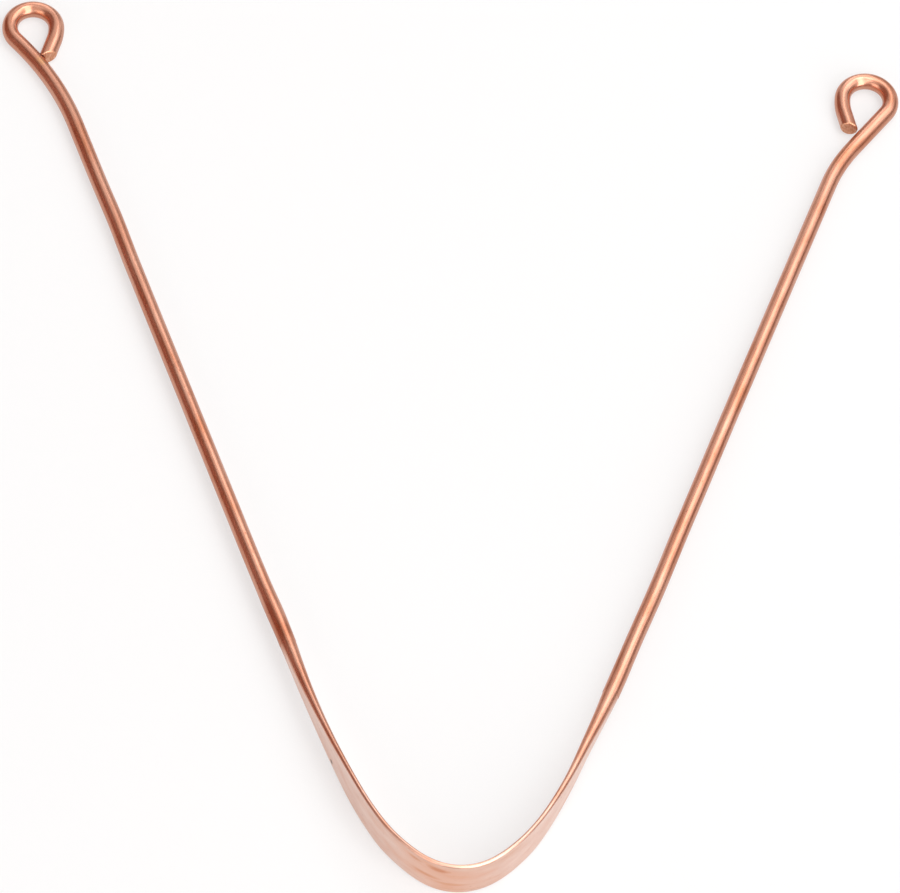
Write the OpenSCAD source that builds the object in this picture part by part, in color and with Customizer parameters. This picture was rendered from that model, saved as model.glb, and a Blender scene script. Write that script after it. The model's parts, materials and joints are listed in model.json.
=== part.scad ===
// A tongue scraper made of one length of round copper wire.
// The middle of the wire is rolled flat and bent into the scraping blade.
// Each end of the wire is curled into an open eye.
// The wire lies in one plane, blade at -Y, eyes at +Y, rolled flat standing on its edge.
// All sizes are in millimetres and degrees.

/* [Wire] */
// Diameter of the round wire
wire_d = 2.4; // [2:0.05:3]

/* [Blade] */
// Width of the rolled flat, edge to edge
blade_w = 6.95; // [5.5:0.05:8.5]
// Thickness of the rolled flat
blade_t = 0.66; // [0.5:0.02:0.9]
// Length of the nose along the flat, the part that scrapes
nose_length = 14; // [10:0.5:18]
// Length of each springy side of the blade, from the nose up
side_length = 19; // [15:0.5:21]
// Length along the flat in which most of the bend happens
bend_size = 11.2; // [9:0.2:14]
// Angle between the two arms
opening_angle = 40.8; // [30:0.4:52]

/* [Left arm] */
// Length along the flat from the middle of the bend to the rolling shoulder
left_shoulder = 45.5; // [42:0.5:50]
// Length over which the left side tapers from flat to round
left_taper_length = 28; // [24:0.5:32]
// Straight round wire above the left shoulder
left_arm_length = 93; // [70:1:115]
// Radius of the outward bend below the left eye
left_neck_r = 43.5; // [30:0.5:60]
// Angle of the outward bend below the left eye
left_neck_angle = 22.6; // [16:0.2:28]
// Straight wire between the left bend and the left eye
left_leg_length = 0.6; // [0.4:0.1:3]

/* [Left eye] */
// Radius of the left eye to the middle of the wire
left_eye_r = 3.4; // [3:0.05:4.2]
// Angle through which the left eye is curled
left_eye_turn = 222; // [212:1:232]
// Radius of the easing curve that leads into the left tail
left_tail_r = 7.9; // [6:0.1:10]
// Angle of the easing curve that leads into the left tail
left_tail_turn = 17; // [8:1:20]
// Straight tail of the left eye, as far as its cut
left_tail_length = 3.6; // [3:0.1:4.2]
// Slope of the left tail's cut away from a square cut, outer side shorter
left_cut_angle = 36; // [20:1:50]

/* [Right arm] */
// Length along the flat from the middle of the bend to the rolling shoulder
right_shoulder = 38.5; // [37:0.5:44]
// Length over which the right side tapers from flat to round
right_taper_length = 26.5; // [22:0.5:30]
// Straight round wire above the right shoulder
right_arm_length = 93.8; // [70:1:115]
// Radius of the outward bend below the right eye
right_neck_r = 25; // [18:0.5:35]
// Angle of the outward bend below the right eye
right_neck_angle = 17.3; // [12:0.2:24]
// Straight wire between the right bend and the right eye
right_leg_length = 8.5; // [6:0.1:12]

/* [Right eye] */
// Radius of the right eye to the middle of the wire
right_eye_r = 3.55; // [3:0.05:4.2]
// Angle through which the right eye is curled
right_eye_turn = 211; // [206:1:222]
// Radius of the easing curve that leads into the right tail
right_tail_r = 8.2; // [6:0.1:10]
// Angle of the easing curve that leads into the right tail
right_tail_turn = 20.5; // [12:0.5:26]
// Straight tail of the right eye, as far as its cut
right_tail_length = 3.2; // [2.6:0.1:3.8]
// Slope of the right tail's cut away from a square cut, outer side shorter
right_cut_angle = 20; // [0:1:35]

/* [Hidden] */

copper = [0.78, 0.45, 0.33];
rolled_copper = [0.86, 0.6, 0.5];

wire_r = wire_d / 2;

// The arms lean out from the middle line by half the opening angle.
arm_heading = 90 - opening_angle / 2;

// The rolls bite this far into the wire at the shoulder, all told.
bite_share = 0.03;
bite_t = wire_d * (1 - bite_share);

// The rolled edges are rounder than the flat is thick by this share.
edge_share = 0.07;

// A cut tail clears the wire beside it by this share of the wire.
clearance_share = 0.03;
clearance = wire_d * clearance_share;

// Bending squeezes the wire, so what follows a bend is thinner by a hair and seats inside it.
hair_share = 0.004;
seat_share = 0.04;
seat = wire_d * seat_share;
leg_d = wire_d * (1 - hair_share);
tail_d = leg_d * (1 - hair_share);

// How finely the flat is drawn.
edge_steps = 12;
path_steps = 64;
nose_steps = 18;
side_steps = 20;
taper_steps = 20;

// Heading of the flat at a length from the middle of the bend, for a side with its shoulder there.
function bend_curve(s) = s / sqrt(s * s + bend_size * bend_size);
function heading(s, shoulder) = arm_heading * bend_curve(s) / bend_curve(shoulder);

// Place reached after a length along the flat, by adding up short steps.
function total(list) = [for (v = list) 1] * list;
function place(s, shoulder) =
    let (step = s / path_steps)
    let (turns = [for (i = [0:path_steps - 1]) heading((i + 0.5) * step, shoulder)])
    step * [total([for (h = turns) cos(h)]), total([for (h = turns) sin(h)])];

// The same for lengths counted to the left as negative and to the right as positive.
function flat_place(s) = s < 0
    ? let (p = place(-s, left_shoulder)) [-p[0], p[1]]
    : place(s, right_shoulder);
function flat_heading(s) = s < 0 ? -heading(-s, left_shoulder) : heading(s, right_shoulder);

// Area between the middle of a rolled edge and its round side.
function edge_cap(t, r) =
    let (h = t / 2)
    h * sqrt(r * r - h * h) + r * r * asin(h / r) * PI / 180;

// Edge radius and width of the rolled flat where it is as thick as t.
// The metal pushed out of the thickness goes into the width.
function flat_share(t) = (wire_d - t) / (wire_d - blade_t);
function edge_r(t) = t / 2 / (1 - edge_share * flat_share(t));
function area_of(w, t, r) = t * (w - 2 * r) + 2 * edge_cap(t, r);
blade_area = area_of(blade_w, blade_t, edge_r(blade_t));
wire_area = PI * wire_r * wire_r;
function area_at(t) = wire_area + (blade_area - wire_area) * flat_share(t);
function width_at(t) =
    let (r = edge_r(t))
    2 * r + (area_at(t) - 2 * edge_cap(t, r)) / t;

// Thickness along the flat: even in the middle, then as deep as a round roll leaves it.
function rise(s, shoulder, taper) = max(0, (s - (shoulder - taper)) / taper);
function flat_t(s) =
    let (u = s < 0 ? rise(-s, left_shoulder, left_taper_length) : rise(s, right_shoulder, right_taper_length))
    blade_t + (bite_t - blade_t) * u * u;

// One cross section of the flat, as points in space.
function ring(s) =
    let (t = flat_t(s), r = edge_r(t), w = width_at(t))
    let (p = flat_place(s), a = flat_heading(s), half_turn = asin(t / 2 / r))
    let (inward = [-sin(a), cos(a)])
    let (turns = [for (i = [0:edge_steps]) half_turn * (1 - 2 * i / edge_steps)])
    let (top = [for (g = turns) [r * sin(g), w / 2 - r + r * cos(g)]])
    let (low = [for (g = turns) [-r * sin(g), -w / 2 + r - r * cos(g)]])
    [for (q = concat(top, low)) [p[0] + inward[0] * q[0], p[1] + inward[1] * q[0], q[1]]];

// Ends of the round wire's pieces, counted on the right-hand side.
function ahead(p, a, d) = [p[0] + d * cos(a), p[1] + d * sin(a)];
function turn_left(p, a, r, g) = [p[0] + r * (sin(a + g) - sin(a)), p[1] - r * (cos(a + g) - cos(a))];
function turn_right(p, a, r, g) = [p[0] - r * (sin(a - g) - sin(a)), p[1] + r * (cos(a - g) - cos(a))];
function beside(p, a, d) = [p[0] - d * sin(a), p[1] + d * cos(a)];

left_arm_start = place(left_shoulder, left_shoulder);
left_neck_start = ahead(left_arm_start, arm_heading, left_arm_length);
left_leg_heading = arm_heading - left_neck_angle;
left_leg_start = turn_right(left_neck_start, arm_heading, left_neck_r, left_neck_angle);
left_eye_start = ahead(left_leg_start, left_leg_heading, left_leg_length);
left_eye_centre = beside(left_eye_start, left_leg_heading, left_eye_r);
left_bend_heading = left_leg_heading + left_eye_turn;
left_bend_start = turn_left(left_eye_start, left_leg_heading, left_eye_r, left_eye_turn);
left_tail_heading = left_bend_heading + left_tail_turn;
left_tail_start = turn_left(left_bend_start, left_bend_heading, left_tail_r, left_tail_turn);
left_tail_end = ahead(left_tail_start, left_tail_heading, left_tail_length);
left_touch = (left_eye_start - left_tail_end) * [cos(left_leg_heading), sin(left_leg_heading)];
left_touch_turn = max(0, left_touch - left_leg_length) / left_neck_r * 180 / PI;
left_touch_heading = left_leg_heading + left_touch_turn;
left_touch_start = turn_right(left_neck_start, arm_heading, left_neck_r, left_neck_angle - left_touch_turn);

right_arm_start = place(right_shoulder, right_shoulder);
right_neck_start = ahead(right_arm_start, arm_heading, right_arm_length);
right_leg_heading = arm_heading - right_neck_angle;
right_leg_start = turn_right(right_neck_start, arm_heading, right_neck_r, right_neck_angle);
right_eye_start = ahead(right_leg_start, right_leg_heading, right_leg_length);
right_eye_centre = beside(right_eye_start, right_leg_heading, right_eye_r);
right_bend_heading = right_leg_heading + right_eye_turn;
right_bend_start = turn_left(right_eye_start, right_leg_heading, right_eye_r, right_eye_turn);
right_tail_heading = right_bend_heading + right_tail_turn;
right_tail_start = turn_left(right_bend_start, right_bend_heading, right_tail_r, right_tail_turn);

// The scraper lies on the lower edges of its flat and on its eyes, so its plane leans a little.
left_far = left_eye_centre[1] + left_eye_r;
right_far = right_eye_centre[1] + right_eye_r;
far_y = max(left_far, right_far);
rest_y = place(left_shoulder - left_taper_length, left_shoulder)[1];
rest_tilt = asin((blade_w - wire_d) / 2 / (far_y - rest_y));
edge_lows = [for (i = [-side_steps:side_steps])
    let (s = (i < 0 ? left_shoulder : right_shoulder) * i / side_steps)
    -width_at(flat_t(s)) / 2 * cos(rest_tilt) - flat_place(s)[1] * sin(rest_tilt)];
lowest = min(min(edge_lows), -far_y * sin(rest_tilt) - wire_r);
flat_half = blade_w / 2 - edge_r(blade_t);
near_y = -blade_t / 2 * cos(rest_tilt) - flat_half * sin(rest_tilt);
middle_y = (near_y + far_y * cos(rest_tilt) + wire_r) / 2;
middle_x = (right_eye_centre[0] + right_eye_r - left_eye_centre[0] - left_eye_r) / 2;

// Puts a piece where it lies: origin under the middle of the whole scraper.
module laid() {
    translate([-middle_x, -middle_y, -lowest])
        rotate([-rest_tilt, 0, 0])
            children();
}

module left_hand() {
    mirror([1, 0, 0])
        children();
}

module along(p, a) {
    translate([p[0], p[1], 0])
        rotate([0, 0, a])
            children();
}

// Round wire, starting at the origin, or its seat before it, and running along +X.
module straight_wire(length, d, before) {
    translate([-before, 0, 0])
        rotate([0, 90, 0])
            cylinder(h = length + before, d = d, $fn = 48);
}

// Round wire curling to the left from the origin, or from its seat before it.
module curled_wire(r, g, d, before) {
    back = before / r * 180 / PI;
    translate([0, r, 0])
        rotate([0, 0, -90 - back])
            rotate_extrude(angle = g + back, $fn = 96)
                translate([r, 0])
                    circle(d = d, $fn = 48);
}

// The flat between two lengths along it.
module rolled_flat(from, to, steps) {
    rings = [for (i = [0:steps]) ring(from + (to - from) * i / steps)];
    count = len(rings[0]);
    sides = [for (i = [0:steps - 1]) for (j = [0:count - 1]) for (half = [0, 1])
        let (a = i * count + j, b = i * count + (j + 1) % count)
        half == 0 ? [a, b, b + count] : [a, b + count, a + count]];
    first_end = [for (j = [count - 1:-1:0]) j];
    last_end = [for (j = [0:count - 1]) steps * count + j];
    polyhedron(points = [for (r = rings) each r], faces = concat(sides, [first_end, last_end]));
}

// The tail of an eye: an easing curve and a straight end sheared to a blunt point.
// One facet lies along the wire it meets at p, the other faces outward.
module sheared_tail(p, a, bend_p, bend_a, r, g, tail_p, tail_a, length, cut) {
    size = length * 4 + wire_d * 4;
    difference() {
        union() {
            along(bend_p, bend_a)
                curled_wire(r, g, leg_d, seat);
            along(tail_p, tail_a)
                straight_wire(length + wire_d, tail_d, seat);
        }
        along(p, a)
            translate([-size, -size + wire_r + clearance, -size / 2])
                cube([size * 2, size, size]);
        along(tail_p, tail_a)
            translate([length, 0, 0])
                rotate([0, 0, -cut])
                    translate([0, -size / 2, -size / 2])
                        cube([size, size, size]);
    }
}

module scraping_blade() {
    color(rolled_copper)
        laid()
            rolled_flat(-nose_length / 2, nose_length / 2, nose_steps);
}

module left_blade_side() {
    color(rolled_copper)
        laid()
            rolled_flat(-nose_length / 2 - side_length, -nose_length / 2, side_steps);
}

module right_blade_side() {
    color(rolled_copper)
        laid()
            rolled_flat(nose_length / 2, nose_length / 2 + side_length, side_steps);
}

module left_taper() {
    color(copper)
        laid()
            rolled_flat(-left_shoulder, -nose_length / 2 - side_length, taper_steps);
}

module right_taper() {
    color(copper)
        laid()
            rolled_flat(nose_length / 2 + side_length, right_shoulder, taper_steps);
}

module left_arm() {
    color(copper)
        laid()
            left_hand()
                along(left_arm_start, arm_heading)
                    straight_wire(left_arm_length, wire_d, 0);
}

module right_arm() {
    color(copper)
        laid()
            along(right_arm_start, arm_heading)
                straight_wire(right_arm_length, wire_d, 0);
}

module left_neck() {
    color(copper)
        laid()
            left_hand()
                union() {
                    along(left_neck_start, arm_heading)
                        mirror([0, 1, 0])
                            curled_wire(left_neck_r, left_neck_angle, wire_d, 0);
                    along(left_leg_start, left_leg_heading)
                        straight_wire(left_leg_length, leg_d, seat);
                }
}

module right_neck() {
    color(copper)
        laid()
            union() {
                along(right_neck_start, arm_heading)
                    mirror([0, 1, 0])
                        curled_wire(right_neck_r, right_neck_angle, wire_d, 0);
                along(right_leg_start, right_leg_heading)
                    straight_wire(right_leg_length, leg_d, seat);
            }
}

module left_eye() {
    color(copper)
        laid()
            left_hand()
                union() {
                    along(left_eye_start, left_leg_heading)
                        curled_wire(left_eye_r, left_eye_turn, wire_d, 0);
                    sheared_tail(
                        left_touch_start, left_touch_heading,
                        left_bend_start, left_bend_heading, left_tail_r, left_tail_turn,
                        left_tail_start, left_tail_heading, left_tail_length, left_cut_angle);
                }
}

module right_eye() {
    color(copper)
        laid()
            union() {
                along(right_eye_start, right_leg_heading)
                    curled_wire(right_eye_r, right_eye_turn, wire_d, 0);
                sheared_tail(
                    right_eye_start, right_leg_heading,
                    right_bend_start, right_bend_heading, right_tail_r, right_tail_turn,
                    right_tail_start, right_tail_heading, right_tail_length, right_cut_angle);
            }
}

scraping_blade();
left_blade_side();
right_blade_side();
left_taper();
right_taper();
left_arm();
right_arm();
left_neck();
right_neck();
left_eye();
right_eye();
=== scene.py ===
import json
import math
import bmesh
import bpy
import numpy as np
from mathutils import Matrix, Vector


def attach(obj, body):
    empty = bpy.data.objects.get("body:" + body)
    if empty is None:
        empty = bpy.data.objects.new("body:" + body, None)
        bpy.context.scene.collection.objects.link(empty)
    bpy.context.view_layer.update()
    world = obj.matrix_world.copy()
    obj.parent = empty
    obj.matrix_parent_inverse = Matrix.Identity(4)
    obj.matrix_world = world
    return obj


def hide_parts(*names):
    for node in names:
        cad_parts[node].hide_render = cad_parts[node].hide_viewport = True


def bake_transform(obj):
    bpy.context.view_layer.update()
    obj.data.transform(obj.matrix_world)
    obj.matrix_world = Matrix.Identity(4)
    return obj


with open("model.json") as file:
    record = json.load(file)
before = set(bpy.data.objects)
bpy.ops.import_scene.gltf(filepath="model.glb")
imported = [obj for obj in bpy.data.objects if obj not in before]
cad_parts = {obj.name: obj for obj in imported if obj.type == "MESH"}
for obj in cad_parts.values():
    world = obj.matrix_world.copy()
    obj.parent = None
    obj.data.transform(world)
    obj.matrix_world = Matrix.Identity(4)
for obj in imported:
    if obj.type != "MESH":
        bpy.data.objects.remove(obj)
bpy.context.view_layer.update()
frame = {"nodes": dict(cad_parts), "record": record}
print("frame loaded:", sorted(frame["nodes"]))

mm = 0.001  # the scraper's shapes are written in millimetres and degrees
hair = 1e-6  # mm past the start of a stretch, to read that stretch and not the one before it

wire = {
    "diameter": 2.4,
    "around": 64,  # points round the wire
    "unevenness": 0.003,  # how far the drawn surface swells and dips
    "ovalWander": (0.7, 3.1),  # seed, and length over which the wire turns oval and back
    "lobeWander": (5.3, 2.3),  # the same for three faint lobes
    "squeeze": 0.02,  # how much flatter the wire is pressed in its tight curls
    "squeezeRun": 2.0,  # length over which that starts and ends
    "tailGap": 0.03,  # gap between a tail and the leg beside it, per diameter
    "armSpacing": 1.0,  # between rows of points
    "neckSpacing": 0.35,
    "eyeSpacing": 0.15,
}
blade = {
    "width": 6.95,
    "thickness": 0.66,
    "noseLength": 14.0,
    "sideLength": 19.0,
    "bendSize": 11.2,
    "openingAngle": 40.8,
    "biteShare": 0.03,  # how deep the rolls bite at the shoulder
    "edgeShare": 0.07,  # how far the edge's radius is above half the thickness
    "edgeWander": 0.035,  # how far the rolled edges wander in and out
    "wanderFull": 1.7,  # thickness rolled away where they wander in full
    "topWander": (1.3, 2.6),  # seed, and length over which the top edge wanders
    "lowWander": (4.1, 2.1),
    "faceWave": 0.0015,  # ripples that the rolls leave on the faces
    "faceWander": (2.2, 1.4),
    "edgePoints": 14,
    "facePoints": 12,
    "spacing": 0.3,  # between rows of points
}
leftSide = {
    "sign": -1.0,
    "shoulder": 45.5,
    "taper": 28.0,
    "arm": 93.0,
    "neckRadius": 43.5,
    "neckAngle": 22.6,
    "leg": 0.6,
    "eyeRadius": 3.4,
    "eyeTurn": 222.0,
    "tailRadius": 7.9,
    "tailTurn": 17.0,
    "tail": 3.6,
    "cutAngle": 36.0,
}
rightSide = {
    "sign": 1.0,
    "shoulder": 38.5,
    "taper": 26.5,
    "arm": 93.8,
    "neckRadius": 25.0,
    "neckAngle": 17.3,
    "leg": 8.5,
    "eyeRadius": 3.55,
    "eyeTurn": 211.0,
    "tailRadius": 8.2,
    "tailTurn": 20.5,
    "tail": 3.2,
    "cutAngle": 20.0,
}
handwork = {
    # where along the wire, how far it is off the true line (inward is positive), over what length
    "smallBends": [
        (-121.0, 0.12, 5.0), (-47.0, 0.19, 7.0), (-8.0, 0.16, 4.0), (8.0, 0.14, 4.0),
        (29.0, 0.12, 5.0), (42.0, -0.08, 5.0), (57.0, -0.19, 9.0), (74.0, -0.07, 8.0),
    ],
    # where the rolls pushed up a swelling, how much thicker it is, over what length
    "swellings": [(-51.0, 0.08, 3.2), (41.0, 0.03, 3.0)],
}
armHeading = math.radians(90 - blade["openingAngle"] / 2)
wireRadius = wire["diameter"] / 2
clearance = wire["diameter"] * wire["tailGap"]
ringAngle = np.arange(wire["around"]) / wire["around"] * 2 * math.pi
upright = np.array([0.0, 0.0, 1.0])


# In all that follows, s is a length along the wire from the middle of the blade
def bendCurve(s):
    return s / np.sqrt(s * s + blade["bendSize"] ** 2)


def flatHeading(s, side):
    return armHeading * bendCurve(s) / bendCurve(side["shoulder"])


def flatPlace(s, side):
    # adds up short steps along the bent strip
    steps = 64
    middles = (np.arange(steps) + 0.5) / steps
    turn = flatHeading(s[:, None] * middles[None, :], side)
    return np.stack([np.cos(turn).sum(1), np.sin(turn).sum(1)], 1) * (s / steps)[:, None]


def runs(side):
    # the round wire beyond the shoulder: length and curl of each stretch, left turn positive
    neckTurn = math.radians(side["neckAngle"])
    eyeTurn = math.radians(side["eyeTurn"])
    tailTurn = math.radians(side["tailTurn"])
    return {
        "arm": (side["arm"], 0.0),
        "neck": (side["neckRadius"] * neckTurn, -1 / side["neckRadius"]),
        "leg": (side["leg"], 0.0),
        "eye": (side["eyeRadius"] * eyeTurn, 1 / side["eyeRadius"]),
        "ease": (side["tailRadius"] * tailTurn, 1 / side["tailRadius"]),
        "tail": (side["tail"] + wire["diameter"], 0.0),
    }


def runStart(side, name):
    total = side["shoulder"]
    for key, (length, curl) in runs(side).items():
        if key == name:
            return total
        total += length
    return total


def ahead(place, heading, length, curl):
    # where a stretch of that length and curl leads
    if curl == 0:
        step = np.stack([np.cos(heading) * length, np.sin(heading) * length], -1)
        return place + step, heading + 0 * length
    turned = heading + curl * length
    x = (np.sin(turned) - np.sin(heading)) / curl
    y = -(np.cos(turned) - np.cos(heading)) / curl
    return place + np.stack([x, y], -1), turned


def sidePath(s, side):
    # places and headings on one side, both sides drawn on the right-hand pattern
    s = np.asarray(s, float)
    place = flatPlace(np.minimum(s, side["shoulder"]), side)
    heading = flatHeading(np.minimum(s, side["shoulder"]), side)
    start = side["shoulder"]
    at = flatPlace(np.array([start]), side)[0]
    facing = armHeading
    for length, curl in runs(side).values():
        here = s > start
        there, turned = ahead(at, facing, s - start, curl)
        place = np.where(here[:, None], there, place)
        heading = np.where(here, turned, heading)
        at, facing = ahead(at, facing, length, curl)
        start += length
    return place, heading


def bumps(s, listed):
    # adds up soft bumps given as (place, height, length)
    return sum(height * np.exp(-(((s - at) / length) ** 2)) for at, height, length in listed)


def wirePath(s):
    # the whole wire, with s negative on the left: places, tangents and inward directions in 3D
    s = np.asarray(s, float)
    rightPlace, rightHeading = sidePath(np.maximum(s, 0), rightSide)
    leftPlace, leftHeading = sidePath(np.maximum(-s, 0), leftSide)
    left = (s < 0)[:, None]
    place = np.where(left, leftPlace * np.array([-1.0, 1.0]), rightPlace)
    heading = np.where(s < 0, -leftHeading, rightHeading)
    zero = np.zeros(len(s))
    place3 = np.stack([place[:, 0], place[:, 1], zero], 1)
    tangent = np.stack([np.cos(heading), np.sin(heading), zero], 1)
    inward = np.stack([-np.sin(heading), np.cos(heading), zero], 1)
    return place3 + inward * bumps(s, handwork["smallBends"])[:, None], tangent, inward


def flatThickness(s):
    # the rolls leave a parabola from the even flat up to the shoulder
    taper = np.where(s < 0, leftSide["taper"], rightSide["taper"])
    shoulder = np.where(s < 0, leftSide["shoulder"], rightSide["shoulder"])
    climb = np.clip((np.abs(s) - (shoulder - taper)) / taper, 0, None)
    bite = wire["diameter"] * (1 - blade["biteShare"])
    return blade["thickness"] + (bite - blade["thickness"]) * climb * climb


def edgeRadius(thickness):
    share = (wire["diameter"] - thickness) / (wire["diameter"] - blade["thickness"])
    return thickness / 2 / (1 - blade["edgeShare"] * share)


def edgeCap(thickness, radius):
    # area of one rounded edge, from the centre of its arc outwards
    half = thickness / 2
    return half * np.sqrt(radius * radius - half * half) + radius * radius * np.arcsin(half / radius)


def flatWidth(thickness):
    # the metal pushed out of the thickness goes into the width
    thin = blade["thickness"]
    share = (wire["diameter"] - thickness) / (wire["diameter"] - thin)
    bladeArea = thin * (blade["width"] - 2 * edgeRadius(thin)) + 2 * edgeCap(thin, edgeRadius(thin))
    wireArea = math.pi * wireRadius**2
    area = wireArea + (bladeArea - wireArea) * share
    radius = edgeRadius(thickness)
    return 2 * radius + (area - 2 * edgeCap(thickness, radius)) / thickness


# How the scraper lies: on the lower edges of its flat and on its eyes
def eyeCentre(side):
    place, heading = sidePath(np.array([runStart(side, "eye")]), side)
    return place[0] + side["eyeRadius"] * np.array([-math.sin(heading[0]), math.cos(heading[0])])


leftEye, rightEye = eyeCentre(leftSide), eyeCentre(rightSide)
farY = max(leftEye[1] + leftSide["eyeRadius"], rightEye[1] + rightSide["eyeRadius"])
evenEnd = np.array([leftSide["shoulder"] - leftSide["taper"]])
restY = flatPlace(evenEnd, leftSide)[0][1]
restTilt = math.asin((blade["width"] - wire["diameter"]) / 2 / (farY - restY))
tries = 21  # places on each side where the flat may touch the ground
flatStretch = np.concatenate([
    np.linspace(-leftSide["shoulder"], 0, tries)[:-1],
    np.linspace(0, rightSide["shoulder"], tries),
])
edgeLows = -flatWidth(flatThickness(flatStretch)) / 2 * math.cos(restTilt)
edgeLows = edgeLows - wirePath(flatStretch)[0][:, 1] * math.sin(restTilt)
lowest = min(edgeLows.min(), -farY * math.sin(restTilt) - wireRadius)
flatHalf = blade["width"] / 2 - edgeRadius(blade["thickness"])
nearY = -blade["thickness"] / 2 * math.cos(restTilt) - flatHalf * math.sin(restTilt)
middleY = (nearY + farY * math.cos(restTilt) + wireRadius) / 2
middleX = (rightEye[0] + rightSide["eyeRadius"] - leftEye[0] - leftSide["eyeRadius"]) / 2
shift = Vector((-middleX, -middleY, -lowest)) * mm
laid = Matrix.Translation(shift) @ Matrix.Rotation(-restTilt, 4, "X")
print("rest tilt in degrees:", round(math.degrees(restTilt), 3))


def lay(points):
    # from the wire's own plane, in millimetres, to the frame, in metres
    turn = np.array(laid.to_3x3())
    return points @ turn.T * mm + np.array(laid.translation)


waves = {
    "count": 4,  # sine waves added up, each finer and lower than the last
    "pitch": 0.9,
    "pitchStep": 0.53,  # an odd step, so that they don't fall into a beat
    "phase": 2.39,
    "peak": 1.7,  # about how high their sum rises
}


def wander(x, seed, length):
    # a smooth, repeatable wander between about -1 and 1 that changes over the given length
    total = 0
    for i in range(1, waves["count"] + 1):
        pitch = waves["pitch"] + waves["pitchStep"] * i
        total = total + np.sin(x / length * pitch + seed * waves["phase"] * i) / i
    return total / waves["peak"]


def gridNormals(points, wrap):
    rowWay = np.gradient(points, axis=0, edge_order=2)
    if wrap:
        padded = np.concatenate([points[:, -1:], points, points[:, :1]], 1)
        columnWay = padded[:, 2:] - padded[:, :-2]
    else:
        columnWay = np.gradient(points, axis=1, edge_order=2)
    normals = np.cross(columnWay, rowWay)
    size = np.linalg.norm(normals, axis=2, keepdims=True)
    return normals / np.maximum(size, 1e-12)  # never divides by nothing


def newShape():
    # patches to come: their points, faces, corner normals, straightened places and material slots
    return {"points": [], "faces": [], "normals": [], "straight": [], "slots": []}


def addGrid(shape, points, normals, straight, wrap, slot=0):
    # one patch of four-sided faces; straight holds each point's place on the straightened wire
    rows, columns = points.shape[:2]
    base = sum(len(p) for p in shape["points"])
    shape["points"].append(points.reshape(-1, 3))
    shape["straight"].append(straight.reshape(-1, 3))
    steps = np.arange(columns if wrap else columns - 1)
    i, j = np.meshgrid(np.arange(rows - 1), steps, indexing="ij")
    after = (j + 1) % columns
    ends = [i * columns + j, i * columns + after, (i + 1) * columns + after, (i + 1) * columns + j]
    corners = np.stack(ends, -1).reshape(-1, 4)
    shape["faces"].append(corners + base)
    shape["normals"].append(normals.reshape(-1, 3)[corners])
    shape["slots"].append(np.full(len(corners), slot))


def addEnd(shape, ring, straight, outward):
    # closes an end with rings of faces that shrink to its middle
    shares = np.array([1.0, 0.5, 0.0])[:, None, None]
    points = ring.mean(0) + (ring[None] - ring.mean(0)) * shares
    places = straight.mean(0) + (straight[None] - straight.mean(0)) * shares
    addGrid(shape, points, np.broadcast_to(outward, points.shape), places, True)


meshing = {
    "weld": 1e-7,  # metres within which two points become one
    "sliver": 1e-8,  # metres below which an edge is dissolved
}


def makePiece(name, shape, materials):
    # lays the shape in the frame, joins its patches and keeps their exact normals at the corners
    points = lay(np.concatenate(shape["points"]))
    faces = np.concatenate(shape["faces"])
    straight = np.concatenate(shape["straight"]) * mm
    turn = np.array(laid.to_3x3())
    normals = np.concatenate(shape["normals"]) @ turn.T
    slots = np.concatenate(shape["slots"])
    # faces that look inwards are turned round
    corner = points[faces]
    facing = np.cross(corner[:, 2] - corner[:, 0], corner[:, 3] - corner[:, 1])
    wrong = (facing * normals.mean(1)).sum(1) < 0
    faces[wrong] = faces[wrong][:, ::-1]
    normals[wrong] = normals[wrong][:, ::-1]
    mesh = bpy.data.meshes.new(name)
    mesh.from_pydata(points.tolist(), [], faces.tolist())
    mesh.attributes.new("straightWire", "FLOAT_VECTOR", "POINT")
    mesh.attributes["straightWire"].data.foreach_set("vector", straight.ravel())
    mesh.attributes.new("cornerNormal", "FLOAT_VECTOR", "CORNER")
    mesh.attributes["cornerNormal"].data.foreach_set("vector", normals.ravel())
    for material in materials:
        mesh.materials.append(material)
    mesh.polygons.foreach_set("material_index", slots.astype(np.int32))
    work = bmesh.new()
    work.from_mesh(mesh)
    bmesh.ops.remove_doubles(work, verts=work.verts, dist=meshing["weld"])
    bmesh.ops.dissolve_degenerate(work, edges=work.edges, dist=meshing["sliver"])
    work.to_mesh(mesh)
    work.free()
    kept = np.zeros(len(mesh.loops) * 3, np.float32)
    mesh.attributes["cornerNormal"].data.foreach_get("vector", kept)
    mesh.attributes.remove(mesh.attributes["cornerNormal"])
    mesh.polygons.foreach_set("use_smooth", np.ones(len(mesh.polygons), bool))
    mesh.normals_split_custom_set(kept.reshape(-1, 3).tolist())
    piece = bpy.data.objects.new(name, mesh)
    bpy.context.scene.collection.objects.link(piece)
    return piece


def toLinear(hexCode):
    # the sRGB curve, from a hex code to linear red, green, blue and alpha
    parts = [int(hexCode[i : i + 2], 16) / 255 for i in (1, 3, 5)]
    return tuple(c / 12.92 if c <= 0.04045 else ((c + 0.055) / 1.055) ** 2.4 for c in parts) + (1.0,)


def addNode(tree, kind, settings=None, links=None):
    # settings: attributes, a ramp's stops, or input values by name or number
    # links: for each input, the socket that feeds it, or the node whose first output does
    node = tree.nodes.new(kind)
    for key, value in (settings or {}).items():
        if key == "stops":
            while len(node.color_ramp.elements) < len(value):
                node.color_ramp.elements.new(1.0)
            for stop, (at, colour) in zip(node.color_ramp.elements, value):
                stop.position, stop.color = at, colour
        elif isinstance(key, str) and hasattr(node, key):
            setattr(node, key, value)
        else:
            node.inputs[key].default_value = value
    for key, source in (links or {}).items():
        tree.links.new(getattr(source, "outputs", [source])[0], node.inputs[key])
    return node


def newMaterial(name):
    material = bpy.data.materials.new(name)
    material.use_nodes = True
    tree = material.node_tree
    tree.nodes.clear()
    return material, tree


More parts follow.
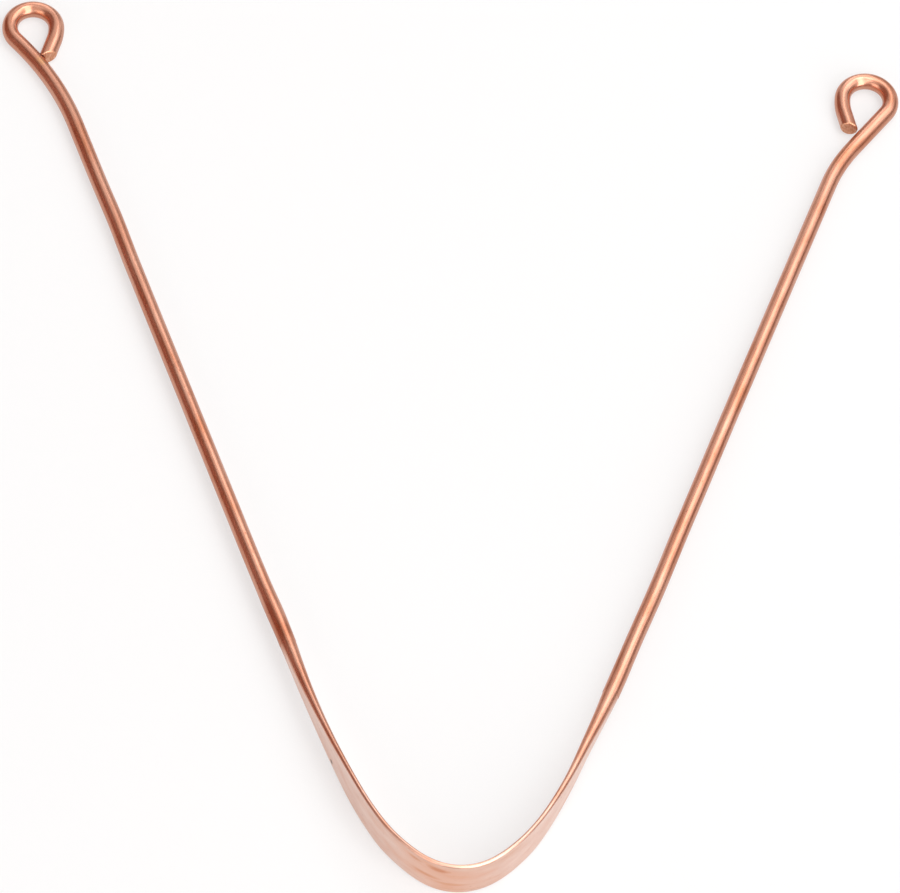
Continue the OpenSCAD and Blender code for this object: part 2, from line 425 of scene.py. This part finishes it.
drawnLook = {
    "fresh": "#C68B73",  # clean satin copper
    "pale": "#CD9983",  # where rubbing has brightened it
    "warm": "#BE7B5D",  # thin orange oxide
    "tarnish": "#93533A",  # brown specks
    "roughness": 0.28,
}
rolledLook = {
    "fresh": "#E0BCAC",
    "pale": "#E7CABD",
    "warm": "#DCAE97",
    "tarnish": "#B07A60",
    "roughness": 0.33,
}
surface = {
    # noise patterns: mm along the wire, mm across it, detail, roughness of the noise
    "patches": (7.0, 1.7, 3.0, 0.55),  # thin oxide that comes and goes
    "lines": (12.6, 0.14, 2.0, 0.6),  # die lines; real ones are 0.03 mm, drawn coarser so that they show
    "specks": (0.8, 0.32, 2.0, 0.5),
    "patchShades": [("warm", 0.30), ("fresh", 0.46), ("pale", 0.70)],  # colour by strength of the patches
    "speckFrom": 0.66,  # strength of the noise where a speck starts, and where it is full
    "speckTo": 0.74,
    "speckStrength": 0.5,
    "lineDepth": 0.0008,  # mm
    "lineRoughness": 0.25,  # how far the lines change the roughness
    # a mark fades between these distances, in half sizes and with the noise of the patches added
    "markFull": 0.9,
    "markGone": 1.7,
    "rolledMiddle": -4.0,  # mm along the wire, the middle of the rolled length
    "rolledUntil": 37.0,  # mm from there, where the rolls' polish starts to fade
    "drawnFrom": 43.0,  # mm from there, where only the drawn skin is left
    "edgeFrom": 0.2,  # how far a surface turns up or down where the rolls stop touching it
    "edgeTo": 0.55,
    "edgeSkin": 0.42,  # share of the drawn skin left on the worn edge at the middle
    "edgeWornTo": 12.0,  # mm from the rolled middle, where the edge's skin starts to return
    "edgeWholeFrom": 34.0,  # mm from there, where it is whole
}
# marks of handling, and painted shade and reflection: place along the wire, height, depth, half length, half
# width, colour, strength
marksAndPaintedLight = [
    (-2.5, 0.5, -0.4, 7.0, 4.0, "#E5AE92", 0.6),  # heat and acid have warmed the nose
    (-2.75, 2.0, -0.4, 1.6, 0.5, "#CC8259", 0.7),
    (-4.4, -0.4, -0.4, 2.4, 0.45, "#D39069", 0.65),
    (-6.2, 2.2, -0.4, 1.2, 0.4, "#CF8C66", 0.6),
    (-1.0, -1.2, -0.4, 3.2, 0.4, "#D89A76", 0.6),
    (-20.0, 3.3, 0.1, 19.0, 0.7, "#AE6A46", 0.3),  # painted shade: the left half's top edge darkened where it catches no highlight
    (-26.75, -1.77, -0.5, 0.4, 0.34, "#33241F", 0.95),  # a small nick
    (-49.0, 0.2, -0.6, 6.0, 1.6, "#A85F42", 0.5),  # grip marks at the left shoulder
    (-47.5, 0.9, 0.6, 1.6, 0.5, "#8E4F36", 0.45),
    (-150.4, 1.2, 0.2, 0.9, 0.6, "#C99660", 0.5),  # painted shade and reflection: a yellow-brown tint where the tail meets the leg below the left eye
    (44.0, 0.8, 0.8, 3.0, 0.5, "#B4714F", 0.4),
]


def copperMaterial(name, middleLook, wireLook):
    # middleLook is the finish of the rolled faces, wireLook that of the wire beyond them and of the edges
    material, tree = newMaterial(name)
    place = addNode(tree, "ShaderNodeAttribute", {"attribute_name": "straightWire"}).outputs["Vector"]
    along = addNode(tree, "ShaderNodeSeparateXYZ", {}, {"Vector": place}).outputs["X"]
    normal = addNode(tree, "ShaderNodeNewGeometry").outputs["Normal"]
    upward = addNode(tree, "ShaderNodeSeparateXYZ", {}, {"Vector": normal}).outputs["Z"]

    # the rolls press the two faces of the middle only, so the edges keep the drawn skin
    offset = {"operation": "SUBTRACT", 1: surface["rolledMiddle"] * mm}
    fromMiddle = addNode(tree, "ShaderNodeMath", offset, {0: along})
    fromMiddle = addNode(tree, "ShaderNodeMath", {"operation": "ABSOLUTE"}, {0: fromMiddle})
    beyond = addNode(tree, "ShaderNodeMapRange", {
        "From Min": surface["rolledUntil"] * mm,
        "From Max": surface["drawnFrom"] * mm,
    }, {"Value": fromMiddle})
    steepness = addNode(tree, "ShaderNodeMath", {"operation": "ABSOLUTE"}, {0: upward})
    edge = addNode(tree, "ShaderNodeMapRange", {
        "From Min": surface["edgeFrom"],
        "From Max": surface["edgeTo"],
    }, {"Value": steepness})
    skin = addNode(tree, "ShaderNodeMapRange", {
        "From Min": surface["edgeWornTo"] * mm,
        "From Max": surface["edgeWholeFrom"] * mm,
        "To Min": surface["edgeSkin"],
    }, {"Value": fromMiddle})
    edgeShare = addNode(tree, "ShaderNodeMath", {"operation": "MULTIPLY"}, {0: edge, 1: skin})
    wireShare = addNode(tree, "ShaderNodeMath", {"operation": "MAXIMUM"}, {0: beyond, 1: edgeShare})

    noise = {}
    for pattern in ("patches", "lines", "specks"):
        length, width, detail, grain = surface[pattern]
        scale = (1 / (length * mm), 1 / (width * mm), 1 / (width * mm))  # one unit of noise for each size
        stretched = addNode(tree, "ShaderNodeMapping", {"Scale": scale}, {"Vector": place})
        settings = {"Scale": 1.0, "Detail": detail, "Roughness": grain}
        noise[pattern] = addNode(tree, "ShaderNodeTexNoise", settings, {"Vector": stretched})

    # a colour Mix node has its colours at inputs 6 and 7 and its result at output 2
    shades = []
    for look in (middleLook, wireLook):
        stops = [(at, toLinear(look[shade])) for shade, at in surface["patchShades"]]
        shades.append(addNode(tree, "ShaderNodeValToRGB", {"stops": stops}, {"Fac": noise["patches"]}))
    clean = addNode(tree, "ShaderNodeMix", {"data_type": "RGBA"}, {0: wireShare, 6: shades[0], 7: shades[1]})
    tarnish = addNode(tree, "ShaderNodeMix", {
        "data_type": "RGBA",
        6: toLinear(middleLook["tarnish"]),
        7: toLinear(wireLook["tarnish"]),
    }, {0: wireShare})
    speckShare = addNode(tree, "ShaderNodeMapRange", {
        "From Min": surface["speckFrom"],
        "From Max": surface["speckTo"],
        "To Max": surface["speckStrength"],
    }, {"Value": noise["specks"]})
    colour = addNode(tree, "ShaderNodeMix", {"data_type": "RGBA"}, {
        0: speckShare,
        6: clean.outputs[2],
        7: tarnish.outputs[2],
    }).outputs[2]
    # each mark, a real stain or a patch of painted shade and reflection, is mixed over the colour
    for middle, z, depth, halfLength, halfWidth, markColour, strength in marksAndPaintedLight:
        scale = (1 / (halfLength * mm), 1 / (halfWidth * mm), 1 / (halfWidth * mm))
        back = tuple(-value * mm * size for value, size in zip((middle, z, depth), scale))
        around = addNode(tree, "ShaderNodeMapping", {"Scale": scale, "Location": back}, {"Vector": place})
        distance = addNode(tree, "ShaderNodeVectorMath", {"operation": "LENGTH"}, {"Vector": around})
        ragged = addNode(tree, "ShaderNodeMath", {"operation": "ADD"}, {
            0: distance.outputs["Value"],
            1: noise["patches"],  # frays the mark's outline
        })
        share = addNode(tree, "ShaderNodeMapRange", {
            "From Min": surface["markFull"],
            "From Max": surface["markGone"],
            "To Min": strength,
            "To Max": 0.0,
        }, {"Value": ragged})
        markMix = {"data_type": "RGBA", 7: toLinear(markColour)}
        colour = addNode(tree, "ShaderNodeMix", markMix, {0: share, 6: colour}).outputs[2]

    mean = addNode(tree, "ShaderNodeMapRange", {
        "To Min": middleLook["roughness"],
        "To Max": wireLook["roughness"],
    }, {"Value": wireShare})
    spread = addNode(tree, "ShaderNodeMath", {"operation": "SUBTRACT", 1: 0.5}, {0: noise["lines"]})
    scaled = {"operation": "MULTIPLY", 1: surface["lineRoughness"]}
    spread = addNode(tree, "ShaderNodeMath", scaled, {0: spread})
    roughness = addNode(tree, "ShaderNodeMath", {"operation": "ADD"}, {0: mean, 1: spread})
    bump = addNode(tree, "ShaderNodeBump", {
        "Strength": 1.0,
        "Distance": surface["lineDepth"] * mm,
    }, {"Height": noise["lines"]})
    shader = addNode(tree, "ShaderNodeBsdfPrincipled", {"Metallic": 1.0}, {
        "Base Color": colour,
        "Roughness": roughness,
        "Normal": bump,
    })
    addNode(tree, "ShaderNodeOutputMaterial", {}, {"Surface": shader})
    return material


shearedLook = {
    "shades": [("#BC7E5D", 0.35), ("#DBA78B", 0.65)],  # torn and dull, smeared and bright
    "roughness": 0.4,
    "dragSize": (0.36, 0.72, 0.12),  # mm along the wire, up the face and across it
    "dragDepth": 0.012,  # mm
}


def shearedMaterial(name):
    material, tree = newMaterial(name)
    place = addNode(tree, "ShaderNodeAttribute", {"attribute_name": "straightWire"}).outputs["Vector"]
    scale = tuple(1 / (size * mm) for size in shearedLook["dragSize"])
    stretched = addNode(tree, "ShaderNodeMapping", {"Scale": scale}, {"Vector": place})
    drag = addNode(tree, "ShaderNodeTexNoise", {"Scale": 1.0, "Detail": 3.0}, {"Vector": stretched})
    stops = [(at, toLinear(shade)) for shade, at in shearedLook["shades"]]
    colour = addNode(tree, "ShaderNodeValToRGB", {"stops": stops}, {"Fac": drag})
    bump = addNode(tree, "ShaderNodeBump", {
        "Strength": 1.0,
        "Distance": shearedLook["dragDepth"] * mm,
    }, {"Height": drag})
    shader = addNode(tree, "ShaderNodeBsdfPrincipled", {
        "Metallic": 1.0,
        "Roughness": shearedLook["roughness"],
    }, {"Base Color": colour, "Normal": bump})
    addNode(tree, "ShaderNodeOutputMaterial", {}, {"Surface": shader})
    return material


# drawn through a die: an even satin, whose fine lines break the highlights into long thin streaks
drawnCopper = copperMaterial("drawnCopper", drawnLook, drawnLook)
# pressed between hard rolls: paler faces with a softer sheen, and the drawn skin left on the edges
rolledCopper = copperMaterial("rolledCopper", rolledLook, drawnLook)
# torn off by cutters: bare, rough metal that scatters the light, with drag marks on it
shearedCopper = shearedMaterial("shearedCopper")
print("materials made")


def flatRows(s):
    # points of the rolled section and their places on the straightened wire, in four panels
    thickness = flatThickness(s)
    radius = edgeRadius(thickness)
    half = flatWidth(thickness) / 2
    place, _, inward = wirePath(s)
    thinned = np.clip((wire["diameter"] - thickness) / blade["wanderFull"], 0, 1)
    topEdge = half + blade["edgeWander"] * wander(s, *blade["topWander"]) * thinned
    lowEdge = half + blade["edgeWander"] * wander(s, *blade["lowWander"]) * thinned
    halfTurn = np.arcsin(np.clip(thickness / 2 / radius, -1, 1))
    turn = halfTurn[:, None] * np.linspace(-1, 1, blade["edgePoints"])[None, :]
    topZ = (topEdge - radius)[:, None] + radius[:, None] * np.cos(turn)
    topIn = radius[:, None] * np.sin(turn)
    lowZ = -(lowEdge - radius)[:, None] - radius[:, None] * np.cos(turn)
    across = np.linspace(0, 1, blade["facePoints"])
    innerZ = topZ[:, -1:] + (lowZ[:, -1:] - topZ[:, -1:]) * across
    ripple = blade["faceWave"] * np.sin(np.pi * across)[None, :] * wander(s, *blade["faceWander"])[:, None]
    innerIn = np.repeat(topIn[:, -1:], len(across), 1) + ripple
    panels = [
        (topZ, topIn),
        (innerZ, innerIn),
        (lowZ[:, ::-1], topIn[:, ::-1]),
        (innerZ[:, ::-1], -innerIn[:, ::-1]),
    ]
    result = []
    for z, depth in panels:
        points = place[:, None] + inward[:, None] * depth[..., None] + upright * z[..., None]
        straight = np.stack([np.repeat(s[:, None], z.shape[1], 1), z, depth], -1)
        result.append((points, straight))
    return result


def flatPiece(name, start, end):
    # the rolled strip between two lengths, square at both ends
    count = int(round(abs(end - start) / blade["spacing"])) + 1
    step = (end - start) / (count - 1)
    s = start + step * np.arange(-1, count + 1)  # one row more at each end, for the normals
    inner = slice(1, -1)
    centres, tangents, _ = wirePath(s[inner])
    shape = newShape()
    rings = {0: [], -1: []}  # the panels' first and last rows
    for points, straight in flatRows(s):
        normals = gridNormals(points, False)[inner]
        points, straight = points[inner], straight[inner]
        if (normals * (points - centres[:, None])).sum() < 0:
            normals = -normals
        addGrid(shape, points, normals, straight, False)
        for row in rings:
            rings[row].append((points[row][:-1], straight[row][:-1]))
    for row, outwardSign in ((0, -1), (-1, 1)):
        ring, places = [np.concatenate(parts) for parts in zip(*rings[row])]
        addEnd(shape, ring, places, tangents[row] * outwardSign * np.sign(end - start))
    return makePiece(name, shape, [rolledCopper])


noseHalf = blade["noseLength"] / 2
sideEnd = noseHalf + blade["sideLength"]
pieces = {}
pieces["scraping_blade"] = flatPiece("scrapingBlade", -noseHalf, noseHalf)
pieces["left_blade_side"] = flatPiece("leftBladeSide", -noseHalf, -sideEnd)
pieces["right_blade_side"] = flatPiece("rightBladeSide", noseHalf, sideEnd)
pieces["left_taper"] = flatPiece("leftTaper", -sideEnd, -leftSide["shoulder"])
pieces["right_taper"] = flatPiece("rightTaper", sideEnd, rightSide["shoulder"])
print("rolled flat made")


def tubeRows(s, squeeze):
    # rings of round wire; squeeze flattens them a little in the wire's plane
    place, _, inward = wirePath(s)
    oval = wander(s, *wire["ovalWander"])[:, None] * np.cos(2 * ringAngle)[None, :]
    lobes = wander(s, *wire["lobeWander"])[:, None] * np.sin(3 * ringAngle)[None, :]
    swell = wire["unevenness"] * (oval + lobes)
    radius = wireRadius + swell - wire["unevenness"] + bumps(s, handwork["swellings"])[:, None]
    depth = radius * np.cos(ringAngle)[None, :] * (1 - squeeze[:, None])
    z = radius * np.sin(ringAngle)[None, :]
    points = place[:, None] + inward[:, None] * depth[..., None] + upright * z[..., None]
    straight = np.stack([np.repeat(s[:, None], len(ringAngle), 1), z, depth], -1)
    return points, straight


def outwardNormals(points, centres):
    normals = gridNormals(points, True)
    if (normals * (points - centres[:, None])).sum() < 0:
        normals = -normals
    return normals


def tubePiece(name, side, stretches, spacing):
    # round wire through the named stretches, square at both ends
    start = runStart(side, stretches[0])
    end = runStart(side, stretches[-1]) + runs(side)[stretches[-1]][0]
    count = int(math.ceil((end - start) / spacing)) + 1
    step = (end - start) / (count - 1)
    s = side["sign"] * (start + step * np.arange(-1, count + 1))
    points, straight = tubeRows(s, np.zeros(len(s)))
    centres, tangents, _ = wirePath(s)
    normals = outwardNormals(points, centres)
    forward = tangents * side["sign"]
    shape = newShape()
    addGrid(shape, points[1:-1], normals[1:-1], straight[1:-1], True)
    addEnd(shape, points[1], straight[1], -forward[1])
    addEnd(shape, points[-2], straight[-2], forward[-2])
    return makePiece(name, shape, [drawnCopper])


pinFlats = {
    # the band that the bending pin pressed flat: from and to along the eye, place round the wire, depth
    "left": (4.8, 8.9, 60.0, 0.11),
    "right": (7.2, 11.1, 62.0, 0.11),
    "run": 1.7,  # length over which a flat starts and ends
    "softness": 0.06,  # roundness of its long edges
}
tailCut = {
    "worn": 0.38,  # how much the rounding has taken off the sheared tails
    "lean": 0.14,  # how far the cut leans back, per millimetre of height
    "ridge": 0.12,  # length over which the cut and the facet beside the leg round into each other
    "rim": 0.24,  # radius of the rounded rim
    "rimLoss": 0.8,  # share of it that is missing beside the leg
    "rimRun": 0.3,  # length over which it is lost
    "roughness": 0.03,
    "roughWay": (3.0, 5.0),  # how fast the roughness changes across the face and up it
    "roughWander": (3.3, 0.7),
    "roughStop": 8,  # how suddenly it ends at the rim
    "rows": 14,  # of points along the tail
    # radii of the cut face's rings, as shares, closest together at the rim
    "rings": [1.0, 0.997, 0.99, 0.975, 0.95, 0.92, 0.88, 0.84, 0.79, 0.7, 0.58, 0.45, 0.3, 0.15, 0.0],
}


def pressFlat(points, centres, curled, side):
    # cuts the band back to a flat, with soft edges and ends
    first, last, turn, depth = pinFlats["left" if side["sign"] < 0 else "right"]
    start = runStart(side, "eye")
    rise = np.clip((curled - start - first) / pinFlats["run"], 0, 1)
    rise = rise * np.clip((start + last - curled) / pinFlats["run"], 0, 1)
    deep = depth * rise * rise * (3 - 2 * rise)
    away = np.maximum(np.cos(ringAngle - math.radians(turn)), 0)[None, :]
    over = wireRadius * away - (wireRadius - deep)[:, None]
    cut = 0.5 * (over + np.sqrt(over**2 + pinFlats["softness"] ** 2)) * (deep / depth)[:, None]
    return points - (points - centres[:, None]) * (cut * away / wireRadius)[..., None]


def touchPlane(side):
    # where the tail meets the wire below the eye, on the right-hand pattern
    eyeStart = runStart(side, "eye")
    eyePlace, eyeHeading = sidePath(np.array([eyeStart]), side)
    tailPlace = sidePath(np.array([runStart(side, "tail") + side["tail"]]), side)[0]
    along = np.array([math.cos(eyeHeading[0]), math.sin(eyeHeading[0])])
    back = float((eyePlace[0] - tailPlace[0]) @ along)
    place, heading = sidePath(np.array([eyeStart - max(back, 0)]), side)
    normal = np.array([-math.sin(heading[0]), math.cos(heading[0])])
    return place[0] + normal * (wireRadius + clearance), normal


def tailEnd(side, depth, z):
    # how far the sheared tail reaches over the section at (depth, z), and its rim's radius there
    place, heading = sidePath(np.array([runStart(side, "tail") + hair]), side)
    along = np.array([math.cos(heading[0]), math.sin(heading[0])])
    inward = np.array([-along[1], along[0]])
    touch, normal = touchPlane(side)
    # the facet beside the leg lies in the touching plane and is hollowed to the leg's round
    facet = ((touch - place[0] - inward * depth[..., None]) @ normal) / (along @ normal)
    beside = wireRadius + clearance
    facet = facet + (beside - np.sqrt(beside**2 - z**2)) / abs(along @ normal)
    slant = depth * math.tan(math.radians(side["cutAngle"])) - z * tailCut["lean"]
    cut = side["tail"] - tailCut["worn"] + slant
    ridge = tailCut["ridge"]
    rounding = np.exp(-np.abs(facet - cut) / ridge) * ridge * 0.5
    nearLeg = np.clip((cut - facet) / tailCut["rimRun"] + 0.5, 0, 1)
    return np.minimum(facet, cut) - rounding, tailCut["rim"] * (1 - tailCut["rimLoss"] * nearLeg)


def eyePiece(name, side):
    # the curled eye with its easing curve, then the straight tail up to its sheared face
    start, tailStart = runStart(side, "eye"), runStart(side, "tail")
    count = int(math.ceil((tailStart - start) / wire["eyeSpacing"])) + 1
    step = (tailStart - start) / (count - 1)
    curled = start + step * np.arange(-1, count)
    s = side["sign"] * curled
    centres, tangents, _ = wirePath(s)
    ease = np.clip((curled - start) / wire["squeezeRun"], 0, 1)
    ease = ease * np.clip((tailStart - curled) / wire["squeezeRun"], 0, 1)
    points, straight = tubeRows(s, wire["squeeze"] * ease)
    points = pressFlat(points, centres, curled, side)

    # the tail: each line of the tube runs on to the sheared end
    depth, z = wireRadius * np.cos(ringAngle), wireRadius * np.sin(ringAngle)
    full, rim = tailEnd(side, depth, z)
    share = np.linspace(0, 1, tailCut["rows"])[1:]
    further = share[:, None] * (full - rim)[None, :]
    still = np.zeros_like(further)
    place, tangent, _ = wirePath(side["sign"] * np.array([tailStart + hair]))
    along = tangent[0] * side["sign"]
    last, lastStraight = points[-1], straight[-1]
    points = np.concatenate([points, last + along * further[..., None]])
    further3 = np.stack([side["sign"] * further, still, still], -1)
    straight = np.concatenate([straight, lastStraight + further3])
    centres = np.concatenate([centres, place + along * (share * side["tail"])[:, None]])
    normals = outwardNormals(points, centres)
    shape = newShape()
    addGrid(shape, points[1:], normals[1:], straight[1:], True)
    addEnd(shape, points[1], straight[1], -tangents[1] * side["sign"])

    # the sheared face, ring by ring towards the middle
    shrink = np.array(tailCut["rings"])[:, None]
    ringDepth, ringZ = shrink * depth, shrink * z
    outer = np.clip((shrink * wireRadius - (wireRadius - rim)) / rim, 0, 1)
    height = tailEnd(side, ringDepth, ringZ)[0] - rim * (1 - np.sqrt(1 - outer**2))
    way = ringDepth * tailCut["roughWay"][0] + ringZ * tailCut["roughWay"][1]
    rough = tailCut["roughness"] * wander(way, *tailCut["roughWander"]) * (1 - shrink ** tailCut["roughStop"])
    middle = last.mean(0)
    face = middle + (last - middle)[None] * shrink[..., None] + along * (height + rough)[..., None]
    faceStraight = np.stack([side["sign"] * (tailStart + height), ringZ, ringDepth], -1)
    faceNormals = gridNormals(face, True)
    if (faceNormals[2] @ along).mean() < 0:  # the third ring is past the rim's first turn
        faceNormals = -faceNormals
    faceNormals[-1] = faceNormals[-2].mean(0)  # the last ring is a point, so it takes the one before
    addGrid(shape, face, faceNormals, faceStraight, True, slot=1)
    return makePiece(name, shape, [drawnCopper, shearedCopper])


pieces["left_arm"] = tubePiece("leftArm", leftSide, ["arm"], wire["armSpacing"])
pieces["right_arm"] = tubePiece("rightArm", rightSide, ["arm"], wire["armSpacing"])
pieces["left_neck"] = tubePiece("leftNeck", leftSide, ["neck", "leg"], wire["neckSpacing"])
pieces["right_neck"] = tubePiece("rightNeck", rightSide, ["neck", "leg"], wire["neckSpacing"])
pieces["left_eye"] = eyePiece("leftEye", leftSide)
pieces["right_eye"] = eyePiece("rightEye", rightSide)
print("round wire made")

bodyOf = {}
for body, nodes in frame["record"]["behaviour"]["bodies"].items():
    for node in nodes:
        bodyOf[node] = body
for node, piece in pieces.items():
    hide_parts(node)
    if node.endswith("blade_side"):
        # the springy strip, from the blade to the arm's body, is baked into the frame and hung on no body
        sign = -1.0 if node.startswith("left") else 1.0
        near, far = lay(wirePath(sign * np.array([noseHalf, sideEnd]))[0])
        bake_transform(piece)
    else:
        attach(piece, bodyOf[node])
print("pieces placed on their bodies")

# The set, in metres: a pale floor, a white surround, and soft boxes and upright cards all round
studio = {
    "floorRadius": 1.25,  # inside all the cards, so that no unlit floor shows behind them
    "floorStep": 5,  # degrees between the corners of its rim
    "floorColour": "#F2F2F2",
    "floorWhite": 0.6,  # how much of the seen floor is plain white, so that its shadows stay faint
    "surround": 0.2,  # how strongly the white surround lights the scraper
}


def pathSeen(tree):
    # 1 for rays from the camera, from metal and through glass
    rays = addNode(tree, "ShaderNodeLightPath").outputs
    larger = {"operation": "MAXIMUM"}
    seen = addNode(tree, "ShaderNodeMath", larger, {0: rays["Is Camera Ray"], 1: rays["Is Glossy Ray"]})
    return addNode(tree, "ShaderNodeMath", larger, {0: seen, 1: rays["Is Transmission Ray"]})


def floorMaterial():
    # matt white table top: part of what is seen is plain white, the rest keeps its shadows
    material, tree = newMaterial("mattWhiteTop")
    diffuse = addNode(tree, "ShaderNodeBsdfDiffuse", {"Color": toLinear(studio["floorColour"])})
    partly = {"operation": "MULTIPLY", 1: studio["floorWhite"]}
    share = addNode(tree, "ShaderNodeMath", partly, {0: pathSeen(tree)})
    white = addNode(tree, "ShaderNodeEmission", {"Color": (1, 1, 1, 1), "Strength": 1.0})
    both = addNode(tree, "ShaderNodeMixShader", {}, {"Fac": share, 1: diffuse, 2: white})
    addNode(tree, "ShaderNodeOutputMaterial", {}, {"Surface": both})
    return material


def cardMaterial(name, foot, top, height):
    # graduated studio paper, darker at the foot
    material, tree = newMaterial(name)
    place = addNode(tree, "ShaderNodeNewGeometry").outputs["Position"]
    parts = addNode(tree, "ShaderNodeSeparateXYZ", {}, {"Vector": place})
    share = addNode(tree, "ShaderNodeMapRange", {"From Max": height}, {"Value": parts.outputs["Z"]})
    stops = [(0.0, toLinear(foot)), (1.0, toLinear(top))]
    paper = addNode(tree, "ShaderNodeValToRGB", {"stops": stops}, {"Fac": share})
    diffuse = addNode(tree, "ShaderNodeBsdfDiffuse", {}, {"Color": paper})
    addNode(tree, "ShaderNodeOutputMaterial", {}, {"Surface": diffuse})
    return material


def stagePiece(name, corners, material):
    # one flat face that belongs to the set, not to the scraper
    mesh = bpy.data.meshes.new(name)
    mesh.from_pydata([tuple(corner) for corner in corners], [], [tuple(range(len(corners)))])
    mesh.materials.append(material)
    piece = bpy.data.objects.new(name, mesh)
    bpy.context.scene.collection.objects.link(piece)
    return piece


def direction(azimuth, elevation):
    # azimuth from +Y towards +X
    a, e = math.radians(azimuth), math.radians(elevation)
    return Vector((math.sin(a) * math.cos(e), math.cos(a) * math.cos(e), math.sin(e)))


floorTurns = range(0, -360, -studio["floorStep"])
stagePiece("floor", [direction(turn, 0) * studio["floorRadius"] for turn in floorTurns], floorMaterial())

walls = [
    # upright cards: name, azimuth, distance, width, height, colour at the foot, colour at the top
    ("leftWall", -75, 1.3, 2.1, 2.9, "#BC8271", "#E8C0B1"),
    ("backWall", 5, 1.7, 2.3, 0.8, "#E6DCD6", "#EFE8E4"),
    ("rightWall", 84, 1.5, 1.8, 0.75, "#C0ABA2", "#CDBBB3"),
    ("frontWall", 205, 1.7, 2.0, 0.7, "#D8CCC6", "#E0D8D3"),
]
for name, azimuth, distance, width, height, foot, top in walls:
    away = direction(azimuth, 0)
    right = away.cross(Vector((0, 0, 1))).normalized() * (width / 2)
    corners = [
        away * distance + right * side + Vector((0, 0, z))
        for side, z in ((-1, 0), (1, 0), (1, height), (-1, height))
    ]
    card = stagePiece(name, corners, cardMaterial(name + "Paper", foot, top, height))
    card.visible_camera = False

lamps = [
    # name, azimuth, elevation, distance, width, height, brightness (1 shows a white card as white)
    ("keyBox", 140, 44, 1.5, 1.15, 2.1, 2.9),
    ("topBox", 55, 78, 1.5, 0.6, 0.6, 2.6),
    ("backBox", 38, 57, 0.5, 0.3, 0.26, 1.95),
    ("sideBox", 74, 41, 1.5, 0.4, 0.45, 1.35),
    ("frontBox", 220, 26, 1.5, 0.9, 0.9, 1.7),
    ("farBox", 0, 24, 1.6, 0.6, 0.9, 1.6),
]
for name, azimuth, elevation, distance, width, height, brightness in lamps:
    light = bpy.data.lights.new(name, "AREA")
    light.shape = "RECTANGLE"
    light.size, light.size_y = width, height
    light.energy = brightness * math.pi * width * height
    lamp = bpy.data.objects.new(name, light)
    bpy.context.scene.collection.objects.link(lamp)
    away = direction(azimuth, elevation)
    lamp.location = away * distance
    lamp.rotation_euler = away.to_track_quat("Z", "Y").to_euler()
    lamp.visible_camera = False

world = bpy.data.worlds.new("whiteRoom")
bpy.context.scene.world = world
world.use_nodes = True
worldTree = world.node_tree
worldTree.nodes.clear()
dimmed = {"To Min": studio["surround"]}
strength = addNode(worldTree, "ShaderNodeMapRange", dimmed, {"Value": pathSeen(worldTree)})
background = addNode(worldTree, "ShaderNodeBackground", {"Color": (1, 1, 1, 1)}, {"Strength": strength})
addNode(worldTree, "ShaderNodeOutputWorld", {}, {"Surface": background})
print("set and lights made")

# The camera stands in front of the blade and looks down on it, turned a little about its own axis
view = {
    "elevation": 56.994,
    "roll": 6.186,
    "azimuth": 4.898,
    "targetX": -1.38,  # the point looked at, in the wire's own plane
    "targetY": 70.007,
    "distance": 940.5,
    "lens": 265.06,
    "sensor": 36,
    "clipStart": 0.01,  # metres
}
tip, roll, swing = (math.radians(view[key]) for key in ("elevation", "roll", "azimuth"))
forward = Vector((math.sin(swing) * math.cos(tip), math.cos(swing) * math.cos(tip), -math.sin(tip)))
levelRight = Vector((math.cos(swing), -math.sin(swing), 0))
levelUp = Vector((math.sin(swing) * math.sin(tip), math.cos(swing) * math.sin(tip), math.cos(tip)))
cameraRight = levelRight * math.cos(roll) + levelUp * math.sin(roll)
cameraUp = levelUp * math.cos(roll) - levelRight * math.sin(roll)
eyePoint = (Vector((view["targetX"], view["targetY"], 0)) - forward * view["distance"]) * mm
stand = Matrix((
    (cameraRight.x, cameraUp.x, -forward.x, eyePoint.x),
    (cameraRight.y, cameraUp.y, -forward.y, eyePoint.y),
    (cameraRight.z, cameraUp.z, -forward.z, eyePoint.z),
    (0, 0, 0, 1),
))
lens = bpy.data.cameras.new("camera")
lens.lens = view["lens"]
lens.sensor_width = view["sensor"]
lens.clip_start = view["clipStart"]
camera = bpy.data.objects.new("camera", lens)
bpy.context.scene.collection.objects.link(camera)
camera.matrix_world = laid @ stand
bpy.context.scene.camera = camera
bpy.context.scene.view_settings.view_transform = "Standard"
print("camera placed")
